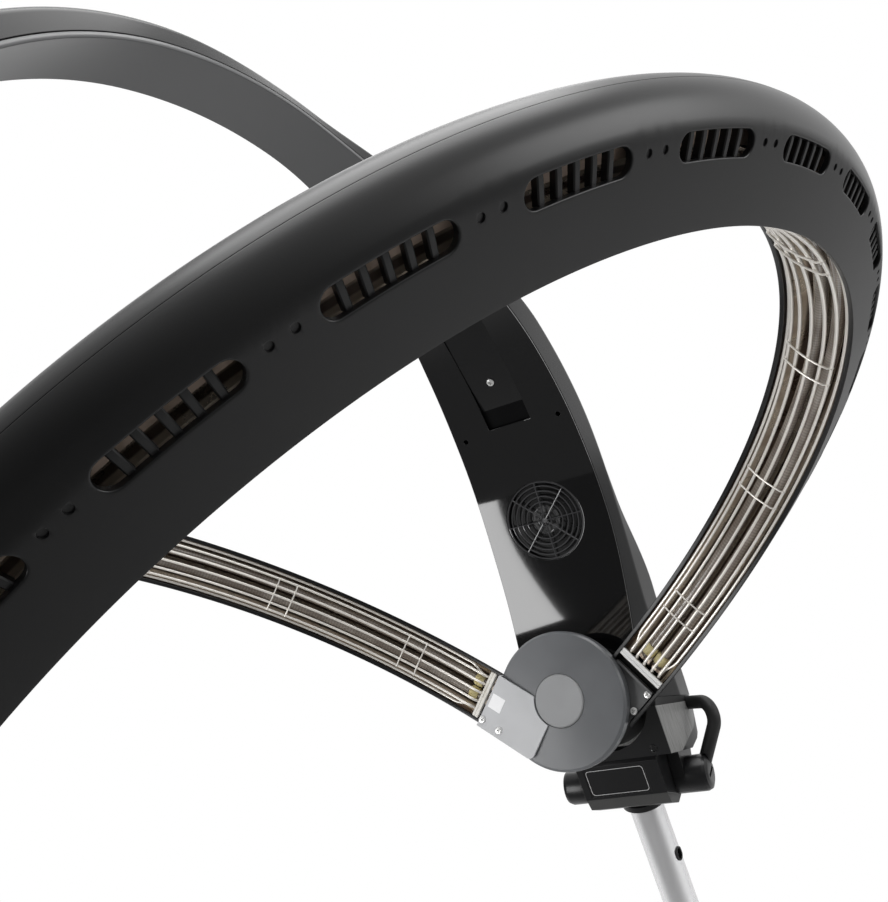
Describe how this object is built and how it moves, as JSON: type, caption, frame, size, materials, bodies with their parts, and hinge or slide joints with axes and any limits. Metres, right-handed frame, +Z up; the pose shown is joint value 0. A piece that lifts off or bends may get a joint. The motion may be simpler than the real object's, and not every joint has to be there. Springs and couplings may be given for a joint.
{
  "type": "hair color processor",
  "caption": "Infrared hair color processor with a folded heater loop turned by a hub on a crescent arm, tilting on a chrome column with a castor base.",
  "frame": {"origin": "on the floor, below the middle of the whole machine", "axes": "+Z up, the head faces -Y, +X to the machine's right side as seen from the front, where the tilt handle and clamp knob are"},
  "size_m": [0.6418, 0.9537, 1.7466],
  "materials": {
    "matt black shell": "fine satin texture",
    "satin black plastic": "satin",
    "gloss black plastic": "high gloss",
    "column chrome": "polished",
    "chrome wire": "polished",
    "reflector sheet": "bright rolled",
    "heater quartz": "milky quartz glass",
    "ceramic": "unglazed",
    "white bar": "smooth",
    "base paint": "satin powder coat",
    "castor tyre": "smooth",
    "castor frame": "satin",
    "handle rubber": "soft satin",
    "display window": "clear tint",
    "button grey": "satin",
    "steel": "turned",
    "bearing brass": "machined",
    "gear nylon": "natural nylon"
  },
  "bodies": {
    "base": {"base_star": "base paint", "base_cover": "satin black plastic", "lower_column": "column chrome", "height_collar": "satin black plastic"},
    "castor_1": {"castor_1_frame": "castor frame"},
    "castor_1_wheels": {"castor_1_wheels": "castor tyre"},
    "castor_2": {"castor_2_frame": "castor frame"},
    "castor_2_wheels": {"castor_2_wheels": "castor tyre"},
    "castor_3": {"castor_3_frame": "castor frame"},
    "castor_3_wheels": {"castor_3_wheels": "castor tyre"},
    "castor_4": {"castor_4_frame": "castor frame"},
    "castor_4_wheels": {"castor_4_wheels": "castor tyre"},
    "castor_5": {"castor_5_frame": "castor frame"},
    "castor_5_wheels": {"castor_5_wheels": "castor tyre"},
    "clamp_knob": {"clamp_knob": "satin black plastic"},
    "column": {"chrome_column": "column chrome", "cable_grommet": "handle rubber", "column_collar": "satin black plastic", "tilt_bottom_plate": "satin black plastic", "tilt_block": "satin black plastic"},
    "head": {"tilt_shaft": "steel", "tilt_barrel_right": "satin black plastic", "tilt_barrel_left": "satin black plastic", "tilt_yoke": "satin black plastic", "tilt_handle": "handle rubber", "arm_root_band": "handle rubber", "arm_back_shell": "satin black plastic", "arm_inner_panel": "gloss black plastic", "arm_cover_plate": "gloss black plastic", "fan_grille": "gloss black plastic", "fan_frame": "satin black plastic", "control_panel": "gloss black plastic", "display_window": "display window", "hub_housing": "satin black plastic", "hub_bearing": "bearing brass", "gearmotor": "steel"},
    "fan": {"fan_impeller": "satin black plastic"},
    "button_1": {"button_1": "button grey"},
    "button_2": {"button_2": "button grey"},
    "button_3": {"button_3": "button grey"},
    "pinion": {"drive_pinion": "gear nylon"},
    "loop": {"ceramic_ends": "ceramic", "end_bars": "white bar", "heater_rods": "heater quartz", "hub_cap": "satin black plastic", "hub_disc": "satin black plastic", "left_end_plate": "satin black plastic", "left_loop_lower_shell": "matt black shell", "left_loop_upper_shell": "matt black shell", "left_reflector": "reflector sheet", "left_wire_guard": "chrome wire", "loop_carrier": "satin black plastic", "loop_shaft": "steel", "nose_cover": "satin black plastic", "right_end_plate": "satin black plastic", "right_loop_lower_shell": "matt black shell", "right_loop_upper_shell": "matt black shell", "right_reflector": "reflector sheet", "right_wire_guard": "chrome wire", "ring_gear": "gear nylon"}
  },
  "joints": [
    {"name": "castor_1_swivel", "type": "hinge", "parent": "base", "child": "castor_1", "pos_m": [0, -0.0964, 0.06], "axis": [0, 0, 1], "continuous": true},
    {"name": "castor_1_roll", "type": "hinge", "parent": "castor_1", "child": "castor_1_wheels", "pos_m": [0, -0.0764, 0.025], "axis": [1, 0, 0], "continuous": true},
    {"name": "castor_2_swivel", "type": "hinge", "parent": "base", "child": "castor_2", "pos_m": [0.27771, 0.10537, 0.06], "axis": [0, 0, 1], "continuous": true},
    {"name": "castor_2_roll", "type": "hinge", "parent": "castor_2", "child": "castor_2_wheels", "pos_m": [0.27771, 0.12537, 0.025], "axis": [1, 0, 0], "continuous": true},
    {"name": "castor_3_swivel", "type": "hinge", "parent": "base", "child": "castor_3", "pos_m": [0.17163, 0.43183, 0.06], "axis": [0, 0, 1], "continuous": true},
    {"name": "castor_3_roll", "type": "hinge", "parent": "castor_3", "child": "castor_3_wheels", "pos_m": [0.17163, 0.45183, 0.025], "axis": [1, 0, 0], "continuous": true},
    {"name": "castor_4_swivel", "type": "hinge", "parent": "base", "child": "castor_4", "pos_m": [-0.17163, 0.43183, 0.06], "axis": [0, 0, 1], "continuous": true},
    {"name": "castor_4_roll", "type": "hinge", "parent": "castor_4", "child": "castor_4_wheels", "pos_m": [-0.17163, 0.45183, 0.025], "axis": [1, 0, 0], "continuous": true},
    {"name": "castor_5_swivel", "type": "hinge", "parent": "base", "child": "castor_5", "pos_m": [-0.27771, 0.10537, 0.06], "axis": [0, 0, 1], "continuous": true},
    {"name": "castor_5_roll", "type": "hinge", "parent": "castor_5", "child": "castor_5_wheels", "pos_m": [-0.27771, 0.12537, 0.025], "axis": [1, 0, 0], "continuous": true},
    {"name": "clamp_turn", "type": "hinge", "parent": "base", "child": "clamp_knob", "pos_m": [0.03, 0.1956, 0.63235], "axis": [1, 0, 0], "range_deg": [0, 270]},
    {"name": "height_slide", "type": "slide", "parent": "base", "child": "column", "axis": [0, 0, 1], "range_m": [-0.24, 0.15]},
    {"name": "head_tilt", "type": "hinge", "parent": "column", "child": "head", "pos_m": [0, 0.1956, 1.092], "axis": [1, 0, 0], "range_deg": [-12, 20]},
    {"name": "loop_spin", "type": "hinge", "parent": "head", "child": "loop", "pos_m": [0, -0.1624, 1.35], "axis": [0, 0.9018, -0.4321], "continuous": true},
    {"name": "pinion_spin", "type": "hinge", "parent": "head", "child": "pinion", "pos_m": [0, -0.14944, 1.37705], "axis": [0, 0.9018, -0.4321], "continuous": true},
    {"name": "fan_spin", "type": "hinge", "parent": "head", "child": "fan", "pos_m": [0, 0.19678, 1.35251], "axis": [0, 0.9935, -0.1139], "continuous": true},
    {"name": "button_1_press", "type": "slide", "parent": "head", "child": "button_1", "axis": [0, -0.901, -0.4339], "range_m": [0, 0.0015], "stiffness_N_per_m": 300, "springref_m": -0.0005},
    {"name": "button_2_press", "type": "slide", "parent": "head", "child": "button_2", "axis": [0, -0.901, -0.4339], "range_m": [0, 0.0015], "stiffness_N_per_m": 300, "springref_m": -0.0005},
    {"name": "button_3_press", "type": "slide", "parent": "head", "child": "button_3", "axis": [0, -0.901, -0.4339], "range_m": [0, 0.0015], "stiffness_N_per_m": 300, "springref_m": -0.0005}
  ],
  "couplings": [
    {"joint": "pinion_spin", "follows": "loop_spin", "ratio": -3}
  ]
}
